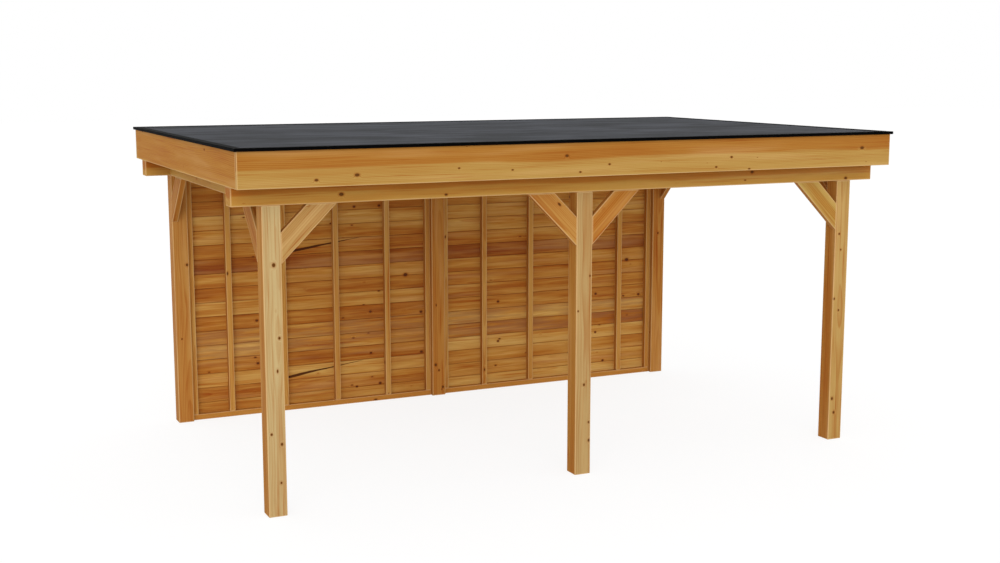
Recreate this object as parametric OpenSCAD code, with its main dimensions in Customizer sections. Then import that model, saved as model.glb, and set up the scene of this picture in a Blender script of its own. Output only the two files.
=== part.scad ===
// Freestanding timber veranda: six posts, a flat roof and a boarded back wall.
// Frame: +X along the front, +Y to the back, +Z up, origin on the ground at the centre.

/* [Posts] */
// Side of the square posts
post_w = 120; // [90:5:160]
// Height of the posts, from the ground to the beams
post_h = 1978; // [1600:10:2600]
// Length of the post frame, outside to outside of the end posts
frame_l = 4488; // [3200:10:6000]
// Depth of the post frame, outside to outside of the posts
frame_d = 2716; // [2000:10:3800]

/* [Beams] */
// Height of the beams on the posts
beam_h = 120; // [90:5:200]
// How far the front and back beams run past the end posts
beam_over = 189; // [60:5:190]

/* [Knee braces] */
// Thickness of the brace planks
brace_t = 45; // [25:5:80]
// Width of the brace planks, across the grain
brace_w = 138; // [80:2:170]
// Reach of a brace along the post and along the beam
brace_reach = 365; // [300:5:600]

/* [Roof] */
// How far the roof edge stands out past the posts, at the two ends
roof_over_x = 211; // [200:1:400]
// How far the roof edge stands out past the posts, at the front and back
roof_over_y = 205; // [80:1:400]
// Thickness of the joists
joist_t = 45; // [35:1:80]
// Height of the joists
joist_h = 220; // [140:5:260]
// Greatest distance between the middles of two joists
joist_pitch = 500; // [400:10:800]
// Thickness of the roof boards
deck_t = 19; // [15:1:30]
// Thickness of the roofing sheet
sheet_t = 3; // [2:1:8]

/* [Fascia and edge trim] */
// Thickness of the fascia boards
fascia_t = 28; // [18:1:40]
// How far the trim stands out past the fascia
trim_out = 15; // [10:1:30]
// Thickness of the trim's metal
trim_t = 4; // [2:1:6]
// Height of the trim's hanging lip
trim_lip = 20; // [15:1:60]
// Width of the trim's flange on the roofing sheet
trim_flange = 55; // [45:5:120]

/* [Back wall] */
// Width of the battens, seen from the front
batten_w = 45; // [30:1:70]
// Depth of the battens and rails
batten_d = 45; // [30:1:50]
// Distance between the middles of the battens, from the middle of the wall
batten_pitch = 450; // [300:10:700]
// Height of the bottom and top rail
rail_h = 45; // [30:1:100]
// Thickness of the boarding, where the boards lap
boards_t = 28; // [20:1:36]
// Space left under the boarding
boards_gap = 12; // [0:1:40]
// How far the boarding lies in from the back of the posts
boards_in = 9.5; // [0:0.5:15]

/* [Hidden] */

post_colour = [0.78, 0.62, 0.38];
beam_colour = [0.68, 0.48, 0.23];
fascia_colour = [0.73, 0.54, 0.28];
wall_colour = [0.62, 0.42, 0.22];
sheet_colour = [0.30, 0.31, 0.33];
trim_colour = [0.05, 0.05, 0.05];

// half sizes of the post frame and of the roof
half_l = frame_l / 2;
half_d = frame_d / 2;
roof_x = half_l + roof_over_x;
roof_y = half_d + roof_over_y;
fascia_x = roof_x - trim_out;
fascia_y = roof_y - trim_out;
inner_x = fascia_x - fascia_t;
inner_y = fascia_y - fascia_t;

// levels, from the ground up
beam_top = post_h + beam_h;
joist_top = beam_top + joist_h;
deck_top = joist_top + deck_t;
sheet_top = deck_top + sheet_t;
roof_top = sheet_top + trim_t;

// joists: an even row between the two side fascias
joist_row = 2 * inner_x - joist_t;
joist_gaps = ceil(joist_row / joist_pitch);

// back wall: the boarding is almost flush with the back of the posts, its frame in front of it
boards_front = half_d - boards_in - boards_t;
wall_front = boards_front - batten_d;
bay_in = post_w / 2;
bay_out = half_l - post_w;
bay_w = bay_out - bay_in;
battens_in_bay = floor((bay_out - 2 * batten_w) / batten_pitch);

// the brace's upright measure, where it meets the post
brace_foot = brace_w * sqrt(2);

// ---------- shapes that repeat ----------

module post(x, y) {
    color(post_colour)
        translate([x - post_w / 2, y - post_w / 2, 0])
            cube([post_w, post_w, post_h]);
}

// a beam along the front or back, on three posts
module long_beam(y) {
    color(beam_colour)
        translate([-half_l - beam_over, y - post_w / 2, post_h])
            cube([frame_l + 2 * beam_over, post_w, beam_h]);
}

// a beam from the front beam to the back beam, flush with the outside of the posts
module short_beam(x) {
    color(beam_colour)
        translate([x - post_w / 2, -half_d + post_w, post_h])
            cube([post_w, frame_d - 2 * post_w, beam_h]);
}

// a knee brace in the XZ plane: the post's face is at x = 0, the beam's underside at z = 0,
// and the plank runs back from y = 0
module brace() {
    color(beam_colour)
        translate([0, brace_t, 0])
            rotate([90, 0, 0])
                linear_extrude(brace_t)
                    polygon([
                        [0, -brace_reach],
                        [brace_reach, 0],
                        [brace_reach - brace_foot, 0],
                        [0, brace_foot - brace_reach]
                    ]);
}

// a brace of the front row, on the side of a post that faces toward (1: right, -1: left)
module front_brace(x, toward) {
    translate([x, -half_d, post_h])
        mirror([toward < 0 ? 1 : 0, 0, 0])
            brace();
}

// a brace of an end row, flush with the outside of the posts
// end: 1 right, -1 left; toward: 1 to the back, -1 to the front
module side_brace(end, toward) {
    translate([end * half_l, -toward * (half_d - post_w), post_h])
        mirror([0, toward < 0 ? 1 : 0, 0])
            rotate([0, 0, 90])
                translate([0, end > 0 ? 0 : -brace_t, 0])
                    brace();
}

module rail(end, z) {
    color(beam_colour)
        translate([end > 0 ? bay_in : -bay_out, wall_front, z])
            cube([bay_w, batten_d, rail_h]);
}

// one against each post, the others at an even pitch from the middle of the wall
module battens(end) {
    places = concat(
        [bay_in + batten_w / 2],
        [for (i = [1 : battens_in_bay]) i * batten_pitch],
        [bay_out - batten_w / 2]
    );
    color(beam_colour)
        for (x = places)
            translate([end * x - batten_w / 2, wall_front, rail_h])
                cube([batten_w, batten_d, post_h - 2 * rail_h]);
}

module boards(end) {
    color(wall_colour)
        translate([end > 0 ? bay_in : -bay_out, boards_front, boards_gap])
            cube([bay_w, boards_t, post_h - boards_gap]);
}

// the front and back fascias cover the ends of the two side ones
module long_fascia(toward) {
    color(fascia_colour)
        translate([-fascia_x, toward > 0 ? inner_y : -fascia_y, beam_top])
            cube([2 * fascia_x, fascia_t, deck_top - beam_top]);
}

module short_fascia(end) {
    color(fascia_colour)
        translate([end > 0 ? inner_x : -fascia_x, -inner_y, beam_top])
            cube([fascia_t, 2 * inner_y, deck_top - beam_top]);
}

// section of the edge trim: the outer corner of the roof is at [0, 0], the roof is at +x
module trim_section() {
    polygon([
        [0, 0],
        [trim_flange, 0],
        [trim_flange, -trim_t],
        [trim_t, -trim_t],
        [trim_t, -trim_lip],
        [0, -trim_lip]
    ]);
}

// a length of trim with mitred ends, along the front edge of a roof that is 2 * half long
module trim_length(half, edge) {
    color(trim_colour)
        intersection() {
            translate([-half, -edge, roof_top])
                rotate([90, 0, 90])
                    linear_extrude(2 * half)
                        trim_section();
            translate([0, 0, roof_top - trim_lip])
                linear_extrude(trim_lip)
                    polygon([
                        [-half, -edge],
                        [half, -edge],
                        [half - trim_flange, trim_flange - edge],
                        [trim_flange - half, trim_flange - edge]
                    ]);
        }
}

// ---------- the pieces ----------

module post_front_left() { post(-half_l + post_w / 2, -half_d + post_w / 2); }
module post_front_middle() { post(0, -half_d + post_w / 2); }
module post_front_right() { post(half_l - post_w / 2, -half_d + post_w / 2); }
module post_back_left() { post(-half_l + post_w / 2, half_d - post_w / 2); }
module post_back_middle() { post(0, half_d - post_w / 2); }
module post_back_right() { post(half_l - post_w / 2, half_d - post_w / 2); }

module beam_front() { long_beam(-half_d + post_w / 2); }
module beam_back() { long_beam(half_d - post_w / 2); }
module beam_left() { short_beam(-half_l + post_w / 2); }
module beam_right() { short_beam(half_l - post_w / 2); }

module brace_front_left() { front_brace(-half_l + post_w, 1); }
module brace_front_middle_left() { front_brace(-post_w / 2, -1); }
module brace_front_middle_right() { front_brace(post_w / 2, 1); }
module brace_front_right() { front_brace(half_l - post_w, -1); }

module brace_side_front_left() { side_brace(-1, 1); }
module brace_side_back_left() { side_brace(-1, -1); }
module brace_side_front_right() { side_brace(1, 1); }
module brace_side_back_right() { side_brace(1, -1); }

module wall_bottom_rail_left() { rail(-1, 0); }
module wall_bottom_rail_right() { rail(1, 0); }
module wall_top_rail_left() { rail(-1, post_h - rail_h); }
module wall_top_rail_right() { rail(1, post_h - rail_h); }
module wall_battens_left() { battens(-1); }
module wall_battens_right() { battens(1); }
module wall_boards_left() { boards(-1); }
module wall_boards_right() { boards(1); }

module roof_joists() {
    color(beam_colour)
        for (i = [0 : joist_gaps])
            translate([-inner_x + i * joist_row / joist_gaps, -inner_y, beam_top])
                cube([joist_t, 2 * inner_y, joist_h]);
}

module roof_deck() {
    color(wall_colour)
        translate([-inner_x, -inner_y, joist_top])
            cube([2 * inner_x, 2 * inner_y, deck_t]);
}

// the roofing sheet also covers the top edges of the fascias
module roof_sheet() {
    color(sheet_colour)
        translate([-fascia_x, -fascia_y, deck_top])
            cube([2 * fascia_x, 2 * fascia_y, sheet_t]);
}

module fascia_front() { long_fascia(-1); }
module fascia_back() { long_fascia(1); }
module fascia_left() { short_fascia(-1); }
module fascia_right() { short_fascia(1); }

module trim_front() { trim_length(roof_x, roof_y); }
module trim_back() { rotate([0, 0, 180]) trim_length(roof_x, roof_y); }
module trim_left() { rotate([0, 0, -90]) trim_length(roof_y, roof_x); }
module trim_right() { rotate([0, 0, 90]) trim_length(roof_y, roof_x); }

post_front_left();
post_front_middle();
post_front_right();
post_back_left();
post_back_middle();
post_back_right();
beam_front();
beam_back();
beam_left();
beam_right();
brace_front_left();
brace_front_middle_left();
brace_front_middle_right();
brace_front_right();
brace_side_front_left();
brace_side_back_left();
brace_side_front_right();
brace_side_back_right();
wall_bottom_rail_left();
wall_bottom_rail_right();
wall_top_rail_left();
wall_top_rail_right();
wall_battens_left();
wall_battens_right();
wall_boards_left();
wall_boards_right();
roof_joists();
roof_deck();
roof_sheet();
fascia_front();
fascia_back();
fascia_left();
fascia_right();
trim_front();
trim_back();
trim_left();
trim_right();
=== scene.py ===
"""Looks of the freestanding timber veranda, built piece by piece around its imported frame."""

import math
import random

import bmesh
import bpy
from mathutils import Matrix, Vector


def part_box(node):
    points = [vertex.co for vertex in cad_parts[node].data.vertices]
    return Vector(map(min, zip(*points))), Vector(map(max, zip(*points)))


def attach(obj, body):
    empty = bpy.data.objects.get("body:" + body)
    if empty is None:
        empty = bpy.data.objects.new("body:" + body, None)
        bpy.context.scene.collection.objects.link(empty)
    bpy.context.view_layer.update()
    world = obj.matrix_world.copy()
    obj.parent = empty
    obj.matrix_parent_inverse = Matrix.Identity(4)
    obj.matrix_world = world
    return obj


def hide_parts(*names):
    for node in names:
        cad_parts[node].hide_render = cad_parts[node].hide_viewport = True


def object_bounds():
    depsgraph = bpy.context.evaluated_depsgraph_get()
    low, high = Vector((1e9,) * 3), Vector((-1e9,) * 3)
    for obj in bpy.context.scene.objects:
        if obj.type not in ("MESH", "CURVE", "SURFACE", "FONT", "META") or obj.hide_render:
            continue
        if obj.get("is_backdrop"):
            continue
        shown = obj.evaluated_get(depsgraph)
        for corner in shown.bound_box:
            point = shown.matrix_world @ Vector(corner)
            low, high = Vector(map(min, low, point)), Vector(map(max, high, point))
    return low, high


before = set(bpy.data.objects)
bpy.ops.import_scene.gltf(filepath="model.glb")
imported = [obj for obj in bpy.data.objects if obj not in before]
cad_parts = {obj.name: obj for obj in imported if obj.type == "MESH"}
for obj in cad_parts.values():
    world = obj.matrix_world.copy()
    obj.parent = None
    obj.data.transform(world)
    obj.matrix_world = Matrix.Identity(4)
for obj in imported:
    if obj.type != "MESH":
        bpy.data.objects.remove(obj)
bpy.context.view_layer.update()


# ---------------------------------------------------------------------------
# Posts: six planed softwood posts, sawn from larger logs. The front and back of each
# are painted paler than its redder sides, a painted sheen in the sapwood colour. Their
# long edges are eased. They stand on the ground on their sawn feet and carry the beams.

X_AXIS = Vector((1, 0, 0))
Y_AXIS = Vector((0, 1, 0))
Z_AXIS = Vector((0, 0, 1))
POST_EASE = 0.004
EDGE_BAND = 0.005
KNOT_BROWN = (98, 58, 20)


def tint(red, green, blue):
    """A paint-chart colour, 0 to 255, as the linear colour that a shader takes."""
    parts = []
    for value in (red, green, blue):
        share = value / 255
        if share <= 0.04045:
            parts.append(share / 12.92)
        else:
            parts.append(((share + 0.055) / 1.055) ** 2.4)
    return (parts[0], parts[1], parts[2], 1.0)


def new_piece():
    """An empty mesh with the layers that the timber finishes read."""
    bm = bmesh.new()
    bm.verts.layers.float_vector.new("grain")
    bm.verts.layers.float.new("edge")
    bm.verts.layers.float.new("shade")
    # One mark per face: painted sheen on the timbers, dust on the wall boards.
    bm.faces.layers.float.new("pale")
    return bm


def dress(bm, old, middle, axes, pith=(0.0, 0.0), shift=0.0, shade=0.5, ease=0.003, pale=None):
    """Eases the edges of the timber added since old, and marks its grain, its edges and the faces that get a
    painted sheen.
    """
    fresh = [v for v in bm.verts if v not in old]
    edges = list({e for v in fresh for e in v.link_edges})
    bmesh.ops.bevel(
        bm,
        geom=edges,
        offset=ease,
        offset_type="OFFSET",
        affect="EDGES",
        segments=2,
        profile=0.5,
        material=-1,
    )
    fresh = [v for v in bm.verts if v not in old]
    edge = bm.verts.layers.float["edge"]
    for v in fresh:
        v[edge] = 1.0
    rims = set(fresh)
    flats = []
    for f in {f for v in fresh for f in v.link_faces}:
        longest = max(e.calc_length() for e in f.edges)
        if f.calc_area() > 4 * EDGE_BAND * longest:
            flats.append(f)
    bmesh.ops.inset_individual(bm, faces=flats, thickness=EDGE_BAND, use_even_offset=True)
    fresh = [v for v in bm.verts if v not in old]
    grain = bm.verts.layers.float_vector["grain"]
    tone = bm.verts.layers.float["shade"]
    along, wide, thick = axes
    for v in fresh:
        if v not in rims:
            v[edge] = 0.0
        away = v.co - middle
        v[grain] = (
            away.dot(along) + shift,
            away.dot(wide) - pith[0],
            away.dot(thick) - pith[1],
        )
        v[tone] = shade
    # Faces across the given axis get a painted sheen: a paler colour standing for light on them.
    if pale is not None:
        side = bm.faces.layers.float["pale"]
        for f in {f for v in fresh for f in v.link_faces}:
            f.normal_update()
            f[side] = 1.0 if abs(f.normal.dot(pale)) > 0.6 else 0.0


def add_box(bm, low, high):
    """A plain box between two corners."""
    size = high - low
    place = Matrix.Translation((low + high) / 2) @ Matrix.Diagonal((size.x, size.y, size.z, 1.0))
    bmesh.ops.create_cube(bm, size=1.0, matrix=place)


def timber(bm, low, high, run, **finish):
    """A squared timber between two corners, with its grain along run: 0, 1 or 2."""
    low = Vector(low)
    high = Vector(high)
    old = set(bm.verts)
    middle = (low + high) / 2
    add_box(bm, low, high)
    order = [X_AXIS, Y_AXIS, Z_AXIS]
    axes = (order[run], order[(run + 1) % 3], order[(run + 2) % 3])
    dress(bm, old, middle, axes, **finish)


def put(bm, name, material, nodes):
    """The mesh as a finished piece, standing for its CAD nodes."""
    bmesh.ops.recalc_face_normals(bm, faces=bm.faces[:])
    mesh = bpy.data.meshes.new(name)
    bm.to_mesh(mesh)
    bm.free()
    piece = bpy.data.objects.new(name, mesh)
    bpy.context.scene.collection.objects.link(piece)
    mesh.materials.append(material)
    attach(piece, "root")
    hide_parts(*nodes)
    return piece


def calc(tree, operation, *terms):
    """A Math node: each term is a socket or a number."""
    node = tree.nodes.new("ShaderNodeMath")
    node.operation = operation
    for i, term in enumerate(terms):
        if isinstance(term, (int, float)):
            node.inputs[i].default_value = term
        else:
            tree.links.new(term, node.inputs[i])
    return node.outputs[0]


def stretch(tree, vector, scale, plus=(0, 0, 0)):
    """A vector times scale, plus an offset."""
    node = tree.nodes.new("ShaderNodeVectorMath")
    node.operation = "MULTIPLY_ADD"
    tree.links.new(vector, node.inputs[0])
    node.inputs[1].default_value = scale
    node.inputs[2].default_value = plus
    return node.outputs[0]


def noise(tree, vector, scale, detail=2.0, roughness=0.5):
    """A noise of about 0 to 1 over a stretched vector."""
    node = tree.nodes.new("ShaderNodeTexNoise")
    tree.links.new(stretch(tree, vector, scale), node.inputs["Vector"])
    node.inputs["Scale"].default_value = 1.0
    node.inputs["Detail"].default_value = detail
    node.inputs["Roughness"].default_value = roughness
    return node.outputs[0]


def ease_in(tree, value, start, end, low=0.0, high=1.0):
    """A smooth step of a value, from low at start to high at end."""
    node = tree.nodes.new("ShaderNodeMapRange")
    node.interpolation_type = "SMOOTHSTEP"
    for i, term in enumerate((value, start, end, low, high)):
        if isinstance(term, (int, float)):
            node.inputs[i].default_value = term
        else:
            tree.links.new(term, node.inputs[i])
    return node.outputs[0]


def blend(tree, amount, first, second, mode="MIX"):
    """A colour mix: each term is a socket, a number or a colour."""
    node = tree.nodes.new("ShaderNodeMix")
    node.data_type = "RGBA"
    node.blend_type = mode
    for i, term in ((0, amount), (6, first), (7, second)):
        if isinstance(term, (int, float, tuple)):
            node.inputs[i].default_value = term
        else:
            tree.links.new(term, node.inputs[i])
    return node.outputs[2]


def new_group(name, inputs, outputs):
    """A shader node group with its input and output nodes: (group, inputs, output node)."""
    group = bpy.data.node_groups.new(name, "ShaderNodeTree")
    for label, kind, value in inputs:
        socket = group.interface.new_socket(label, in_out="INPUT", socket_type=kind)
        if value is not None:
            socket.default_value = value
    for label, kind in outputs:
        group.interface.new_socket(label, in_out="OUTPUT", socket_type=kind)
    source = group.nodes.new("NodeGroupInput")
    target = group.nodes.new("NodeGroupOutput")
    return group, source.outputs, target.inputs


def knot_group():
    """How near a place is to a knot, in knot sizes, or to the nearest one so far."""
    group, given, out = new_group(
        "one_knot",
        [
            ("Place", "NodeSocketVector", None),
            ("Knot", "NodeSocketVector", None),
            ("Size", "NodeSocketVector", (0.01, 0.01, 0.01)),
            ("Nearest", "NodeSocketFloat", 99.0),
        ],
        [("Nearest", "NodeSocketFloat")],
    )
    away = group.nodes.new("ShaderNodeVectorMath")
    away.operation = "SUBTRACT"
    group.links.new(given["Place"], away.inputs[0])
    group.links.new(given["Knot"], away.inputs[1])
    share = group.nodes.new("ShaderNodeVectorMath")
    share.operation = "DIVIDE"
    group.links.new(away.outputs[0], share.inputs[0])
    group.links.new(given["Size"], share.inputs[1])
    length = group.nodes.new("ShaderNodeVectorMath")
    length.operation = "LENGTH"
    group.links.new(share.outputs[0], length.inputs[0])
    nearest = calc(group, "MINIMUM", length.outputs["Value"], given["Nearest"])
    group.links.new(nearest, out["Nearest"])
    return group


def wood_group():
    """Softwood cut from a log: growth rings round the pith, heartwood and sapwood, fibres and knots, with a
    painted sheen on marked faces, and edges made lighter, partly as wear and partly as a painted edge
    highlight.
    """
    group, given, out = new_group(
        "softwood",
        [
            ("Grain", "NodeSocketVector", None),
            ("Knot", "NodeSocketFloat", 99.0),
            ("Edge", "NodeSocketFloat", 0.0),
            ("Painted Sheen", "NodeSocketFloat", 0.0),
            ("Heartwood", "NodeSocketColor", (0.5, 0.25, 0.1, 1.0)),
            ("Sapwood And Sheen", "NodeSocketColor", (0.6, 0.4, 0.2, 1.0)),
            ("Knot Colour", "NodeSocketColor", (0.2, 0.08, 0.02, 1.0)),
            ("Heart Radius", "NodeSocketFloat", 1.0),
            ("Ring Pitch", "NodeSocketFloat", 0.006),
            ("Contrast", "NodeSocketFloat", 1.0),
            ("Wild Knots", "NodeSocketFloat", 0.1),
        ],
        [
            ("Colour", "NodeSocketColor"),
            ("Roughness", "NodeSocketFloat"),
            ("Height", "NodeSocketFloat"),
        ],
    )
    grain = given["Grain"]
    parts = group.nodes.new("ShaderNodeSeparateXYZ")
    group.links.new(grain, parts.inputs[0])

    cells = group.nodes.new("ShaderNodeTexVoronoi")
    group.links.new(stretch(group, grain, (4.5, 9.0, 9.0)), cells.inputs["Vector"])
    cells.inputs["Scale"].default_value = 1.0
    wild = calc(group, "DIVIDE", cells.outputs["Distance"], given["Wild Knots"])
    near = calc(group, "MINIMUM", wild, given["Knot"])

    flat = group.nodes.new("ShaderNodeCombineXYZ")
    group.links.new(parts.outputs[1], flat.inputs[1])
    group.links.new(parts.outputs[2], flat.inputs[2])
    reach = group.nodes.new("ShaderNodeVectorMath")
    reach.operation = "LENGTH"
    group.links.new(flat.outputs[0], reach.inputs[0])
    sway = calc(group, "SUBTRACT", noise(group, grain, (0.9, 5.0, 5.0), 2.0), 0.5)
    swell = ease_in(group, near, 0.4, 3.0, 0.016, 0.0)
    radius = calc(group, "MULTIPLY_ADD", sway, 0.05, reach.outputs["Value"])
    radius = calc(group, "ADD", radius, swell)

    turn = calc(group, "FRACT", calc(group, "DIVIDE", radius, given["Ring Pitch"]))
    late = calc(group, "MULTIPLY", ease_in(group, turn, 0.25, 0.88), ease_in(group, turn, 1.0, 0.9))
    years = noise(group, grain, (0.5, 26.0, 26.0), 2.0)
    late = calc(group, "MULTIPLY", late, ease_in(group, years, 0.3, 0.75, 0.25, 1.0))

    fibre = noise(group, grain, (5.0, 420.0, 420.0), 3.0, 0.6)
    streak = noise(group, grain, (1.3, 60.0, 60.0), 3.0, 0.6)
    broad = noise(group, grain, (0.9, 13.0, 13.0), 2.0)

    split = calc(group, "MULTIPLY_ADD", calc(group, "SUBTRACT", streak, 0.5), 0.05, radius)
    heart = given["Heart Radius"]
    outer = ease_in(
        group,
        split,
        calc(group, "SUBTRACT", heart, 0.008),
        calc(group, "ADD", heart, 0.010),
    )
    # Sapwood outside the heart radius, and painted sheen on the marked faces; both take the sapwood colour.
    sapwood_and_sheen = calc(group, "MAXIMUM", outer, given["Painted Sheen"])
    colour = blend(group, sapwood_and_sheen, given["Heartwood"], given["Sapwood And Sheen"])

    strong = given["Contrast"]
    warm = tint(224, 178, 128)
    amount = calc(group, "MULTIPLY", late, calc(group, "MULTIPLY", strong, 0.55))
    colour = blend(group, amount, colour, warm, "MULTIPLY")
    deep = calc(group, "MULTIPLY", strong, 0.85)
    amount = calc(group, "MULTIPLY", ease_in(group, streak, 0.52, 0.80), deep)
    colour = blend(group, amount, colour, tint(226, 170, 112), "MULTIPLY")
    amount = calc(group, "MULTIPLY", ease_in(group, broad, 0.45, 0.75), calc(group, "MULTIPLY", strong, 0.45))
    colour = blend(group, amount, colour, tint(235, 196, 150), "MULTIPLY")
    amount = calc(group, "MULTIPLY", ease_in(group, broad, 0.50, 0.25), calc(group, "MULTIPLY", strong, 0.16))
    colour = blend(group, amount, colour, tint(228, 190, 130))
    amount = calc(group, "MULTIPLY", ease_in(group, fibre, 0.5, 0.8), 0.35)
    colour = blend(group, amount, colour, tint(214, 170, 120), "MULTIPLY")

    halo = ease_in(group, near, 2.0, 0.9, 0.0, 0.55)
    colour = blend(group, halo, colour, tint(214, 150, 92), "MULTIPLY")
    core = ease_in(group, near, 1.15, 0.75)
    colour = blend(group, core, colour, given["Knot Colour"])
    # Lighter edges: partly wear, partly a painted highlight along the eased edges.
    wear_and_edge_highlight = calc(group, "MULTIPLY", given["Edge"], ease_in(group, fibre, 0.3, 0.6, 0.25, 0.6))
    colour = blend(group, wear_and_edge_highlight, colour, tint(222, 186, 132))
    group.links.new(colour, out["Colour"])

    rough = calc(group, "MULTIPLY_ADD", fibre, 0.18, 0.52)
    group.links.new(rough, out["Roughness"])
    height = calc(group, "MULTIPLY_ADD", late, 0.5, calc(group, "MULTIPLY", fibre, 0.6))
    height = calc(group, "MULTIPLY_ADD", core, 0.6, height)
    group.links.new(height, out["Height"])
    return group


one_knot = knot_group()
softwood = wood_group()


def new_material(name):
    """A material with its node tree."""
    material = bpy.data.materials.new(name)
    material.use_nodes = True
    return material, material.node_tree


def attribute(tree, name):
    """A node that reads one of a piece's own layers."""
    node = tree.nodes.new("ShaderNodeAttribute")
    node.attribute_name = name
    return node


def knot_chain(tree, knots):
    """The nearest of some knots: each is its place, and its half length along each axis."""
    place = tree.nodes.new("ShaderNodeTexCoord").outputs["Object"]
    nearest = None
    for spot, size in knots:
        node = tree.nodes.new("ShaderNodeGroup")
        node.node_tree = one_knot
        tree.links.new(place, node.inputs["Place"])
        node.inputs["Knot"].default_value = spot
        node.inputs["Size"].default_value = size
        if nearest is not None:
            tree.links.new(nearest, node.inputs["Nearest"])
        nearest = node.outputs["Nearest"]
    return nearest


def finish_coat(material, colour, rough, height, bump=0.25, depth=0.0006, shine=0.05):
    """The material's own shader, with its colour, roughness and bump."""
    tree = material.node_tree
    shader = tree.nodes["Principled BSDF"]
    tree.links.new(colour, shader.inputs["Base Color"])
    tree.links.new(rough, shader.inputs["Roughness"])
    shader.inputs["Specular IOR Level"].default_value = shine
    relief = tree.nodes.new("ShaderNodeBump")
    relief.inputs["Strength"].default_value = bump
    relief.inputs["Distance"].default_value = depth
    tree.links.new(height, relief.inputs["Height"])
    tree.links.new(relief.outputs[0], shader.inputs["Normal"])


def wood(name, heart, sapwood_and_sheen, radius=1.0, pitch=0.006, contrast=1.0, wild=0.1, knots=(), bump=0.25):
    """A planed softwood finish, with some knots in chosen places."""
    material, tree = new_material(name)
    node = tree.nodes.new("ShaderNodeGroup")
    node.node_tree = softwood
    tree.links.new(attribute(tree, "grain").outputs["Vector"], node.inputs["Grain"])
    tree.links.new(attribute(tree, "edge").outputs["Fac"], node.inputs["Edge"])
    # The marked faces take the painted sheen.
    tree.links.new(attribute(tree, "pale").outputs["Fac"], node.inputs["Painted Sheen"])
    if knots:
        tree.links.new(knot_chain(tree, knots), node.inputs["Knot"])
    node.inputs["Heartwood"].default_value = tint(*heart)
    node.inputs["Sapwood And Sheen"].default_value = tint(*sapwood_and_sheen)
    node.inputs["Knot Colour"].default_value = tint(*KNOT_BROWN)
    node.inputs["Heart Radius"].default_value = radius
    node.inputs["Ring Pitch"].default_value = pitch
    node.inputs["Contrast"].default_value = contrast
    node.inputs["Wild Knots"].default_value = wild
    finish_coat(material, node.outputs["Colour"], node.outputs["Roughness"], node.outputs["Height"], bump)
    return material


def face_knots(face, knots):
    """Knots on the front of an upright timber: across, height and half size."""
    return [((x, face, z), (size, 0.012, size * 1.2)) for x, z, size in knots]


FRONT_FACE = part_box("post_front_left")[0].y
BACK_ROW_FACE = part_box("post_back_left")[0].y
POST_KNOTS = {
    "post_front_left": [
        (-2.175, 1.61, 0.011), (-2.150, 1.15, 0.008), (-2.215, 0.54, 0.007),
        (-2.150, 0.47, 0.008), (-2.160, 0.22, 0.006),
    ],
    "post_front_middle": [
        (0.045, 1.40, 0.006), (-0.045, 1.16, 0.006), (0.005, 0.64, 0.008),
        (0.045, 0.37, 0.007), (0.048, 0.24, 0.009),
    ],
    "post_front_right": [
        (2.160, 1.58, 0.007), (2.180, 1.46, 0.006), (2.135, 1.09, 0.008),
        (2.180, 1.00, 0.007), (2.150, 0.32, 0.010), (2.170, 0.21, 0.009),
    ],
    "post_back_left": [(-2.140, 1.27, 0.009), (-2.200, 0.68, 0.006)],
    "post_back_middle": [(-0.030, 0.27, 0.011), (0.000, 0.22, 0.008), (0.035, 0.07, 0.010)],
    "post_back_right": [(2.180, 1.30, 0.008)],
}
# Each post's heartwood colour, then the paler colour of the painted sheen on its front and back faces.
POST_TONES = {
    "post_front_left": ((180, 124, 50), (193, 168, 118)),
    "post_front_middle": ((186, 132, 60), (182, 150, 98)),
    "post_front_right": ((188, 132, 62), (184, 148, 86)),
    "post_back_left": ((180, 124, 58), (188, 134, 66)),
    "post_back_middle": ((182, 124, 56), (190, 132, 60)),
    "post_back_right": ((182, 126, 58), (186, 128, 58)),
}
for number, (name, knots) in enumerate(POST_KNOTS.items()):
    low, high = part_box(name)
    bm = new_piece()
    # Painted sheen: the post's front and back faces are made paler.
    timber(
        bm,
        low,
        high,
        2,
        pith=(0.035 - 0.012 * (number % 3), 0.05),
        shift=3.7 * number,
        ease=POST_EASE,
        pale=Y_AXIS,
    )
    face = FRONT_FACE if "front" in name else BACK_ROW_FACE
    heart, sapwood_and_sheen = POST_TONES[name]
    finish = wood(
        name + "_finish",
        heart,
        sapwood_and_sheen,
        knots=face_knots(face, knots),
        pitch=0.008,
        contrast=1.2,
        wild=0.05,
    )
    put(bm, name + "_timber", finish, [name])


# ---------------------------------------------------------------------------
# Beams: planed softwood laid on the posts. The front and back ones run past the
# end posts as far as the fascia; the two short ones are fitted between them.

BEAM_HEART = (176, 114, 44)
BEAM_SAP = (190, 144, 68)
BEAM_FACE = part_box("beam_front")[0].y
BEAM_KNOTS = [
    (-1.73, 2.03, 0.016, 0.011),
    (-1.02, 2.00, 0.011, 0.007),
    (1.36, 2.068, 0.014, 0.010),
    (2.20, 1.995, 0.013, 0.010),
]


def board_knots(face, places):
    """Knots on the front of a level timber: across, height, half width and half height."""
    return [((x, face, z), (wide, 0.01, tall)) for x, z, wide, tall in places]


for number, name in enumerate(("beam_front", "beam_back", "beam_left", "beam_right")):
    low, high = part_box(name)
    run = 0 if number < 2 else 1
    bm = new_piece()
    pith = (0.0, 0.09) if run == 0 else (0.09, 0.0)
    timber(bm, low, high, run, pith=pith, shift=40 + 6.1 * number, ease=0.004)
    finish = wood(
        name + "_finish",
        BEAM_HEART,
        BEAM_SAP,
        radius=0.102,
        knots=board_knots(BEAM_FACE, BEAM_KNOTS) if number == 0 else (),
        wild=0.04 if number == 0 else 0.1,
    )
    put(bm, name + "_timber", finish, [name])


# ---------------------------------------------------------------------------
# Knee braces: planks cut at 45 degrees at both ends, set flush with the outside of
# the posts and beams, one at each inner side of the front posts and two at each end.

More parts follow.
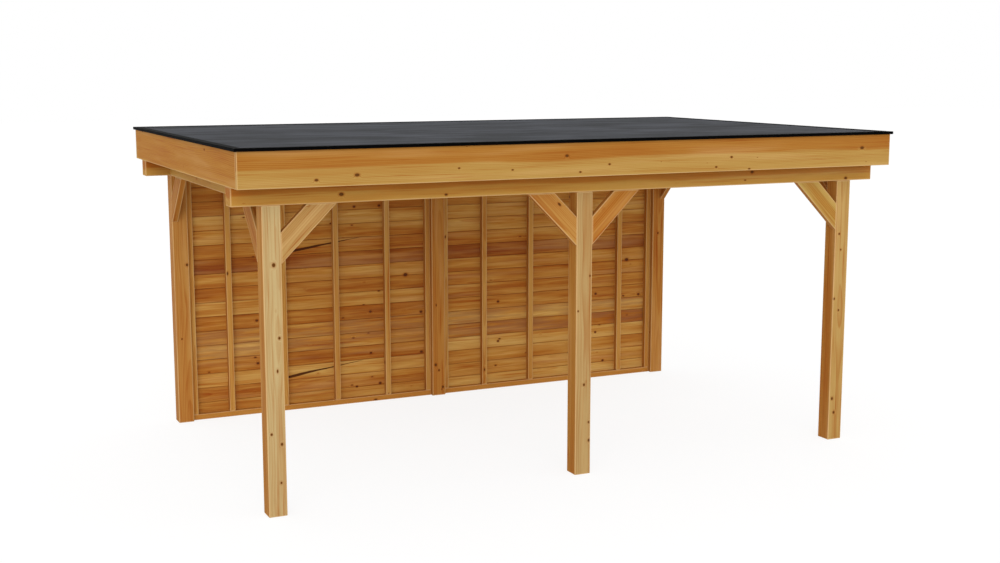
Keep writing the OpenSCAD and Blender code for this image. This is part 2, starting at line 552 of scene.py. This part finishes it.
BRACE_WIDTH = 0.138
BRACE_LENGTH = 0.9
HALF_SLOPE = math.sqrt(0.5)
# Each brace's heartwood colour, then the paler colour of the painted sheen on its two broad faces.
BRACE_TONES = {
    "brace_front_left": ((178, 128, 62), (182, 144, 86)),
    "brace_front_middle_left": ((180, 124, 56), (186, 136, 68)),
    "brace_front_middle_right": ((180, 124, 56), (180, 122, 52)),
    "brace_front_right": ((184, 132, 64), (186, 154, 82)),
    "brace_side_front_left": ((178, 124, 56), (178, 124, 56)),
    "brace_side_back_left": ((178, 124, 56), (180, 126, 58)),
    "brace_side_front_right": ((180, 126, 58), (180, 126, 58)),
    "brace_side_back_right": ((180, 126, 58), (180, 126, 58)),
}


def cut_plank(bm, corner, out, thick, width, thickness, shift):
    """A plank at 45 degrees, trimmed to the post at corner and to the beam over it."""
    along = (out + Z_AXIS) * HALF_SLOPE
    wide = (out - Z_AXIS) * HALF_SLOPE
    low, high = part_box("brace_front_left")
    reach = high.x - low.x
    half = (reach - width * HALF_SLOPE) / 2
    middle = corner + out * half - Z_AXIS * half + thick * thickness / 2
    frame_axes = Matrix((along, wide, thick)).transposed().to_4x4()
    size = Matrix.Diagonal((BRACE_LENGTH, width, thickness, 1.0))
    old = set(bm.verts)
    bmesh.ops.create_cube(bm, size=1.0, matrix=Matrix.Translation(middle) @ frame_axes @ size)
    for no in (-out, Z_AXIS):
        geom = bm.verts[:] + bm.edges[:] + bm.faces[:]
        cut = bmesh.ops.bisect_plane(bm, geom=geom, plane_co=corner, plane_no=no, clear_outer=True)
        rim = [e for e in cut["geom_cut"] if isinstance(e, bmesh.types.BMEdge)]
        bmesh.ops.edgeloop_fill(bm, edges=rim)
    bmesh.ops.recalc_face_normals(bm, faces=bm.faces[:])
    # Painted sheen: the plank's two broad faces are made paler.
    dress(bm, old, middle, (along, wide, thick), pith=(0.05, 0.04), shift=shift, pale=thick)


for number, (name, (heart, sapwood_and_sheen)) in enumerate(BRACE_TONES.items()):
    low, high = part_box(name)
    right = "right" in name
    bm = new_piece()
    if "side" in name:
        to_back = "front" in name
        out = Y_AXIS if to_back else -Y_AXIS
        corner = Vector((high.x if right else low.x, low.y if to_back else high.y, high.z))
        thick = -X_AXIS if right else X_AXIS
        thickness = high.x - low.x
    else:
        to_right = name in ("brace_front_left", "brace_front_middle_right")
        out = X_AXIS if to_right else -X_AXIS
        corner = Vector((low.x if to_right else high.x, low.y, high.z))
        thick = Y_AXIS
        thickness = high.y - low.y
    cut_plank(bm, corner, out, thick, BRACE_WIDTH, thickness, 80 + 2.3 * number)
    finish = wood(name + "_finish", heart, sapwood_and_sheen, pitch=0.009, contrast=1.5, wild=0.07)
    put(bm, name + "_plank", finish, [name])


# ---------------------------------------------------------------------------
# Frame of the back wall: sawn battens nailed upright between a bottom and a top rail,
# with one against each post. It stands in front of the boarding.

BATTEN_HEART = (184, 126, 54)
# The second batten colour is the paler colour of the painted sheen on the battens' front and back faces.
BATTEN_SHEEN = (200, 150, 76)
RAIL_HEART = (194, 136, 62)
RAIL_SAP = (200, 146, 72)
BATTEN = 0.045
BATTEN_PITCH = 0.450
SAWN_EASE = 0.0025
wall_random = random.Random(11)
for side in ("left", "right"):
    sign = -1 if side == "left" else 1
    for level in ("bottom", "top"):
        name = f"wall_{level}_rail_{side}"
        low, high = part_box(name)
        bm = new_piece()
        shift = wall_random.uniform(100, 120)
        timber(bm, low, high, 0, pith=(0.02, 0.06), shift=shift, ease=SAWN_EASE)
        finish = wood(name + "_finish", RAIL_HEART, RAIL_SAP, contrast=1.1, wild=0.07)
        put(bm, name + "_timber", finish, [name])
    low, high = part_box(f"wall_battens_{side}")
    inner = min(abs(low.x), abs(high.x))
    outer = max(abs(low.x), abs(high.x))
    places = [inner + BATTEN / 2] + [i * BATTEN_PITCH for i in (1, 2, 3, 4)] + [outer - BATTEN / 2]
    bm = new_piece()
    for place in places:
        x = sign * place
        # Painted sheen: each batten's front and back faces are made paler.
        timber(
            bm,
            (x - BATTEN / 2, low.y, low.z),
            (x + BATTEN / 2, high.y, high.z),
            2,
            pith=(wall_random.uniform(-0.08, 0.08), wall_random.uniform(0.04, 0.10)),
            shift=wall_random.uniform(120, 160),
            shade=wall_random.random(),
            ease=SAWN_EASE,
            pale=Y_AXIS,
        )
    finish = wood(f"wall_battens_{side}_finish", BATTEN_HEART, BATTEN_SHEEN, contrast=1.2, wild=0.07)
    put(bm, f"wall_battens_{side}_timber", finish, [f"wall_battens_{side}"])


# ---------------------------------------------------------------------------
# Boarding of the back wall: seventeen tapered boards a bay, each lapped over the one
# below on the outside, and flat on the inside, nailed to the back of the battens.
# Each board has a tone of its own, and one in each bay is dark heartwood.

ROW_PITCH = 0.116
SEAM = 0.0006
THIN_EDGE = 0.0105
THICK_EDGE = 0.0272
LAP = 0.0105
REBATE = 0.0125
END_GAP = 0.0015
BOARD_DARKEST = 0.3
BOARD_PALEST = 0.8
HEART_BOARD = 10
HEART_SHADE = 0.1
DUSTY_BOARDS = (4, 5)
THICK_DUST = 0.8
THIN_DUST = 0.15
ROUGH_EASE = 0.0006


def lapped_board(bm, left, right, face, foot, first, last_top):
    """One tapered board: its inner face, thin top edge, and lip over the board below."""
    lip = foot if first else foot - LAP
    rim = [
        (0.0, foot + SEAM),
        (0.0, foot + ROW_PITCH - SEAM),
        (THIN_EDGE, foot + ROW_PITCH - SEAM),
        (THICK_EDGE, lip),
        (REBATE, lip),
        (REBATE, foot + SEAM),
    ]
    if first:
        rim = [(0.0, foot), rim[1], rim[2], (THICK_EDGE, foot)]
    corners = [bm.verts.new((left, face + depth, z)) for depth, z in rim]
    end = bm.faces.new(corners)
    grown = bmesh.ops.extrude_face_region(bm, geom=[end])
    moved = [v for v in grown["geom"] if isinstance(v, bmesh.types.BMVert)]
    bmesh.ops.translate(bm, verts=moved, vec=(right - left, 0, 0))
    fresh = corners + moved
    if foot + ROW_PITCH > last_top:
        for v in fresh:
            v.co.z = min(v.co.z, last_top)
    bmesh.ops.recalc_face_normals(bm, faces=list({f for v in fresh for f in v.link_faces}))


def board_finish(name, knots, cracks):
    """Rough softwood boards, each of its own tone from red-brown to honey, some of them dusty."""
    material, tree = new_material(name)
    grain = attribute(tree, "grain").outputs["Vector"]
    shade = attribute(tree, "shade").outputs["Fac"]
    node = tree.nodes.new("ShaderNodeGroup")
    node.node_tree = softwood
    tree.links.new(grain, node.inputs["Grain"])
    edge = attribute(tree, "edge").outputs["Fac"]
    cloud = noise(tree, grain, (1.6, 22.0, 4.0), 3.0, 0.6)
    tone = calc(tree, "MULTIPLY_ADD", calc(tree, "SUBTRACT", cloud, 0.5), 1.2, shade)
    ramp = tree.nodes.new("ShaderNodeValToRGB")
    stops = ramp.color_ramp.elements
    stops[0].position = 0.0
    stops[0].color = tint(150, 80, 28)
    stops[1].position = 1.0
    stops[1].color = tint(220, 182, 104)
    for position, colour in ((0.3, (182, 118, 46)), (0.5, (196, 140, 62)), (0.7, (208, 160, 82))):
        stop = stops.new(position)
        stop.color = tint(*colour)
    tree.links.new(tone, ramp.inputs["Fac"])
    tree.links.new(ramp.outputs["Color"], node.inputs["Heartwood"])
    tree.links.new(knot_chain(tree, knots), node.inputs["Knot"])
    node.inputs["Heart Radius"].default_value = 9.0
    node.inputs["Knot Colour"].default_value = tint(92, 48, 20)
    node.inputs["Ring Pitch"].default_value = 0.007
    node.inputs["Contrast"].default_value = 1.25
    node.inputs["Wild Knots"].default_value = 0.055
    dust = attribute(tree, "pale").outputs["Fac"]
    patch = noise(tree, grain, (2.2, 30.0, 4.0), 3.0, 0.6)
    dust = calc(tree, "MULTIPLY", dust, ease_in(tree, patch, 0.35, 0.6))
    colour = blend(tree, calc(tree, "MULTIPLY", dust, 0.55), node.outputs["Colour"], tint(150, 104, 72))
    # Painted shade: every board edge is darkened, standing for the shadow lines in the seams between boards.
    colour = blend(tree, calc(tree, "MULTIPLY", edge, 0.5), colour, tint(176, 126, 84), "MULTIPLY")
    height = node.outputs["Height"]
    place = tree.nodes.new("ShaderNodeTexCoord").outputs["Object"]
    spot = tree.nodes.new("ShaderNodeSeparateXYZ")
    tree.links.new(place, spot.inputs[0])
    for start, end, rise, foot, width in cracks:
        along = ease_in(tree, spot.outputs[0], start, end, 0.0, 1.0)
        share = calc(tree, "DIVIDE", calc(tree, "SUBTRACT", spot.outputs[0], start), end - start)
        line = calc(tree, "MULTIPLY_ADD", share, rise, foot)
        bend = calc(tree, "MULTIPLY", calc(tree, "SUBTRACT", cloud, 0.5), 0.02)
        rise_off = calc(tree, "SUBTRACT", spot.outputs[2], line)
        off = calc(tree, "ABSOLUTE", calc(tree, "SUBTRACT", rise_off, bend))
        half = calc(tree, "MULTIPLY_ADD", along, -width, width)
        inside = calc(tree, "MULTIPLY", ease_in(tree, share, -0.02, 0.02), ease_in(tree, share, 1.0, 0.9))
        mark = calc(tree, "MULTIPLY", ease_in(tree, off, calc(tree, "ADD", half, 0.003), half), inside)
        colour = blend(tree, calc(tree, "MULTIPLY", mark, 0.95), colour, tint(70, 32, 12))
        height = calc(tree, "SUBTRACT", height, mark)
    finish_coat(material, colour, node.outputs["Roughness"], height, bump=0.5, depth=0.0008)
    return material


WALL_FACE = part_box("wall_boards_left")[0].y


def wall_knots(places):
    """Knots on the inside of the boarding: across, height and half size."""
    return [((x, WALL_FACE, z), (size * 0.95, 0.01, size * 0.75)) for x, z, size in places]


BAY_KNOTS = {
    "left": wall_knots([
        (-1.57, 0.765, 0.013), (-0.59, 0.765, 0.013), (-0.13, 0.73, 0.014), (-1.57, 0.41, 0.013),
        (-0.59, 0.41, 0.012), (-0.13, 0.38, 0.013), (-0.27, 1.06, 0.020), (-0.72, 1.66, 0.013),
        (-0.50, 1.66, 0.013), (-0.51, 0.14, 0.014), (-0.72, 0.13, 0.012),
    ]),
    "right": wall_knots([
        (0.60, 0.765, 0.013), (1.58, 0.765, 0.013), (2.03, 0.73, 0.014), (0.60, 0.41, 0.013),
        (1.58, 0.41, 0.012), (1.90, 1.06, 0.020), (1.45, 1.66, 0.013), (1.66, 0.14, 0.013),
    ]),
}
BAY_CRACKS = {
    "left": [(-1.30, -0.64, 0.09, 1.315, 0.009), (-1.34, -0.64, 0.09, 0.265, 0.009)],
    "right": [],
}
tone_random = random.Random(7)
for side in ("left", "right"):
    name = f"wall_boards_{side}"
    low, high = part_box(name)
    bm = new_piece()
    foot = low.z
    row = 0
    while foot < high.z - 0.01:
        old = set(bm.verts)
        old_faces = set(bm.faces)
        nudge = wall_random.uniform(0.0, 0.0007)
        tone = tone_random.uniform(BOARD_DARKEST, BOARD_PALEST)
        lapped_board(bm, low.x + END_GAP, high.x - END_GAP, low.y + nudge, foot, row == 0, high.z)
        middle = Vector((low.x, low.y, foot + ROW_PITCH / 2))
        dress(
            bm,
            old,
            middle,
            (X_AXIS, Z_AXIS, Y_AXIS),
            pith=(wall_random.uniform(-0.05, 0.05), wall_random.uniform(0.03, 0.09)),
            shift=200 + 2.7 * (row % 9) + wall_random.uniform(0, 0.05),
            shade=HEART_SHADE if row == HEART_BOARD else tone,
            ease=ROUGH_EASE,
        )
        dust = bm.faces.layers.float["pale"]
        for f in bm.faces:
            if f not in old_faces:
                f[dust] = THICK_DUST if row in DUSTY_BOARDS else THIN_DUST
        foot += ROW_PITCH
        row += 1
    finish = board_finish(name + "_finish", BAY_KNOTS[side], BAY_CRACKS[side])
    put(bm, name + "_lapped", finish, [name])


# ---------------------------------------------------------------------------
# Joists: eleven sawn softwood joists on edge, from the front fascia to the back one,
# laid on the beams and nailed down through their ends.

JOIST_COUNT = 11
JOIST = 0.045
low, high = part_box("roof_joists")
roof_random = random.Random(23)
bm = new_piece()
for i in range(JOIST_COUNT):
    x = low.x + i * (high.x - low.x - JOIST) / (JOIST_COUNT - 1)
    timber(
        bm,
        (x, low.y, low.z),
        (x + JOIST, high.y, high.z),
        1,
        pith=(roof_random.uniform(-0.05, 0.15), roof_random.uniform(-0.06, 0.06)),
        shift=roof_random.uniform(300, 340),
        shade=roof_random.random(),
    )
finish = wood("joist_finish", (176, 130, 76), (190, 148, 94), radius=0.09, wild=0.09)
put(bm, "roof_joists_sawn", finish, ["roof_joists"])


# ---------------------------------------------------------------------------
# Roof boards: tongued and grooved softwood boards along the roof, nailed on the
# joists, with a chamfer along each lower edge that shows from below as a V.

DECK_BOARDS = 25
DECK_GAP = 0.0008
low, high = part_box("roof_deck")
board = (high.y - low.y) / DECK_BOARDS
bm = new_piece()
for i in range(DECK_BOARDS):
    split = low.x + (high.x - low.x) * roof_random.uniform(0.3, 0.7)
    for start, end in ((low.x, split - DECK_GAP), (split, high.x)):
        timber(
            bm,
            (start, low.y + i * board + DECK_GAP / 2, low.z),
            (end, low.y + (i + 1) * board - DECK_GAP / 2, high.z),
            0,
            pith=(roof_random.uniform(-0.05, 0.05), roof_random.uniform(0.03, 0.08)),
            shift=roof_random.uniform(400, 440),
            shade=roof_random.random(),
            ease=0.0035,
        )
finish = wood("deck_finish", (184, 142, 88), (198, 160, 108), radius=0.07, wild=0.11)
put(bm, "roof_deck_boards", finish, ["roof_deck"])


# ---------------------------------------------------------------------------
# Fascia boards: planed boards with heartwood above and sapwood below, screwed to the
# joist ends. The front and back boards cover the ends of the side ones.

FASCIA_HEART = (170, 116, 48)
FASCIA_SAP = (180, 142, 74)
SIDE_FASCIA_TONES = ((182, 124, 44), (190, 142, 60))
FASCIA_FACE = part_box("fascia_front")[0].y
FASCIA_KNOTS = [
    (-1.950, 2.140, 0.012, 0.008),
    (-1.690, 2.163, 0.016, 0.010),
    (-1.010, 2.183, 0.008, 0.005),
    (-0.635, 2.160, 0.008, 0.005),
    (-0.240, 2.240, 0.013, 0.009),
    (-0.140, 2.130, 0.009, 0.006),
    (0.080, 2.175, 0.009, 0.006),
    (0.925, 2.130, 0.009, 0.006),
    (1.050, 2.195, 0.010, 0.007),
    (1.200, 2.108, 0.009, 0.006),
    (2.185, 2.230, 0.017, 0.011),
]
for number, name in enumerate(("fascia_front", "fascia_back", "fascia_left", "fascia_right")):
    low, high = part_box(name)
    run = 0 if number < 2 else 1
    outward = -1 if name in ("fascia_front", "fascia_left") else 1
    pith = (-outward * 0.035, 0.125) if number < 2 else (0.125, -outward * 0.035)
    bm = new_piece()
    timber(bm, low, high, run, pith=pith, shift=500 + 7.3 * number, ease=0.003)
    heart, sapwood_and_sheen = (FASCIA_HEART, FASCIA_SAP) if number < 2 else SIDE_FASCIA_TONES
    finish = wood(
        name + "_finish",
        heart,
        sapwood_and_sheen,
        radius=0.135 if number < 2 else 0.24,
        pitch=0.010,
        knots=board_knots(FASCIA_FACE, FASCIA_KNOTS) if number == 0 else (),
        wild=0.02 if number == 0 else 0.06,
    )
    put(bm, name + "_board", finish, [name])


# ---------------------------------------------------------------------------
# Roofing: a dark grey rubber sheet, glued down over the roof boards and the top edges
# of the fascias. It lies almost flat, with slight waves.

sheet_low, sheet_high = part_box("roof_sheet")
SHEET_WAVE = 0.0006
bm = bmesh.new()
add_box(bm, sheet_low, sheet_high)
top = [f for f in bm.faces if f.normal.z > 0.9 or f.calc_center_median().z > sheet_high.z - 0.0001]
bmesh.ops.subdivide_edges(bm, edges=list({e for f in top for e in f.edges}), cuts=40, use_grid_fill=True)
sheet_random = random.Random(5)
for v in bm.verts:
    inside = abs(v.co.x) < sheet_high.x - 0.05 and abs(v.co.y) < sheet_high.y - 0.05
    if inside and v.co.z > sheet_high.z - 0.0001:
        v.co.z += sheet_random.uniform(0.0, SHEET_WAVE)
rubber, tree = new_material("rubber_sheet")
place = tree.nodes.new("ShaderNodeTexCoord").outputs["Object"]
cloud = noise(tree, place, (1.4, 3.2, 1.0), 4.0, 0.6)
colour = blend(tree, ease_in(tree, cloud, 0.3, 0.7), tint(40, 42, 45), tint(76, 78, 84))
drift = noise(tree, place, (0.8, 9.0, 1.0), 3.0, 0.55)
colour = blend(tree, calc(tree, "MULTIPLY", ease_in(tree, drift, 0.45, 0.75), 0.6), colour, tint(42, 44, 47))
speck = noise(tree, place, (160.0, 160.0, 160.0), 2.0, 0.6)
pale_specks = calc(tree, "MULTIPLY", ease_in(tree, speck, 0.5, 0.8), 0.25)
colour = blend(tree, pale_specks, colour, tint(112, 114, 118))
rough = calc(tree, "MULTIPLY_ADD", cloud, 0.2, 0.65)
finish_coat(rubber, colour, rough, speck, bump=0.3, depth=0.0008)
put(bm, "roof_sheet_rubber", rubber, ["roof_sheet"])


# ---------------------------------------------------------------------------
# Edge trim: black coated aluminium angle along the four roof edges, mitred at the
# corners, with its flange on the rubber and its lip in front of the fascia.

trim_finish, tree = new_material("black_trim")
place = tree.nodes.new("ShaderNodeTexCoord").outputs["Object"]
film = noise(tree, place, (3.0, 3.0, 3.0), 3.0, 0.6)
colour = blend(tree, film, tint(2, 2, 2), tint(8, 8, 9))
grit = noise(tree, place, (500.0, 500.0, 500.0), 2.0, 0.5)
rough = calc(tree, "MULTIPLY_ADD", film, 0.15, 0.55)
finish_coat(trim_finish, colour, rough, grit, bump=0.1, depth=0.0003, shine=0.01)
for name in ("trim_front", "trim_back", "trim_left", "trim_right"):
    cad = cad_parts[name]
    bm = new_piece()
    bm.from_mesh(cad.data)
    bmesh.ops.remove_doubles(bm, verts=bm.verts[:], dist=0.00001)
    bmesh.ops.dissolve_limit(bm, angle_limit=0.01, verts=bm.verts[:], edges=bm.edges[:])
    sharp = [e for e in bm.edges if len(e.link_faces) == 2 and e.calc_face_angle() > 0.3]
    bmesh.ops.bevel(
        bm,
        geom=sharp,
        offset=0.0008,
        offset_type="OFFSET",
        affect="EDGES",
        segments=2,
        profile=0.5,
        material=-1,
    )
    put(bm, name + "_angle", trim_finish, [name])


# ---------------------------------------------------------------------------
# Studio: a plain white floor that takes a faint shadow, an even white surround, a wide
# soft lamp from the front left, and the camera.

FLOOR_DROP = 0.0005
CAMERA_PLACE = (-4.5159, -9.6362, 2.8405)
CAMERA_DIP = 8.918
CAMERA_TURN = -25.112


def seen_rays(tree):
    """1 for the rays that show a surface to the camera, straight, mirrored or through."""
    rays = tree.nodes.new("ShaderNodeLightPath")
    seen = calc(tree, "MAXIMUM", rays.outputs["Is Camera Ray"], rays.outputs["Is Glossy Ray"])
    return calc(tree, "MAXIMUM", seen, rays.outputs["Is Transmission Ray"])


mesh = bpy.data.meshes.new("studio_floor")
bm = bmesh.new()
bmesh.ops.create_grid(bm, x_segments=1, y_segments=1, size=60)
bm.to_mesh(mesh)
bm.free()
floor = bpy.data.objects.new("studio_floor", mesh)
bpy.context.scene.collection.objects.link(floor)
floor.location.z = -FLOOR_DROP
floor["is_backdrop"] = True
floor_paint, tree = new_material("studio_white")
tree.nodes.remove(tree.nodes["Principled BSDF"])
matt = tree.nodes.new("ShaderNodeBsdfDiffuse")
matt.inputs["Color"].default_value = (0.92, 0.92, 0.92, 1.0)
glow = tree.nodes.new("ShaderNodeEmission")
glow.inputs["Strength"].default_value = 1.07
share = calc(tree, "MULTIPLY", seen_rays(tree), 0.80)
mix = tree.nodes.new("ShaderNodeMixShader")
tree.links.new(share, mix.inputs[0])
tree.links.new(matt.outputs[0], mix.inputs[1])
tree.links.new(glow.outputs[0], mix.inputs[2])
tree.links.new(mix.outputs[0], tree.nodes["Material Output"].inputs["Surface"])
mesh.materials.append(floor_paint)

world = bpy.data.worlds.new("studio")
bpy.context.scene.world = world
world.use_nodes = True
tree = world.node_tree
light = tree.nodes["Background"]
light.inputs["Color"].default_value = (1.0, 1.0, 1.0, 1.0)
tree.links.new(ease_in(tree, seen_rays(tree), 0.0, 1.0, 0.76, 1.0), light.inputs["Strength"])

lamp = bpy.data.lights.new("key", "SUN")
lamp.energy = 1.4
lamp.angle = math.radians(60)
key = bpy.data.objects.new("key", lamp)
bpy.context.scene.collection.objects.link(key)
key.rotation_euler = Vector((-0.40, -1.0, 0.40)).to_track_quat("Z", "Y").to_euler()

lens = bpy.data.cameras.new("camera")
lens.lens = 50.16
lens.sensor_width = 36.0
camera = bpy.data.objects.new("camera", lens)
bpy.context.scene.collection.objects.link(camera)
camera.location = CAMERA_PLACE
camera.rotation_euler = (math.radians(90 - CAMERA_DIP), 0.0, math.radians(CAMERA_TURN))
bpy.context.scene.camera = camera
bpy.context.scene.view_settings.view_transform = "Standard"

low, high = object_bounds()
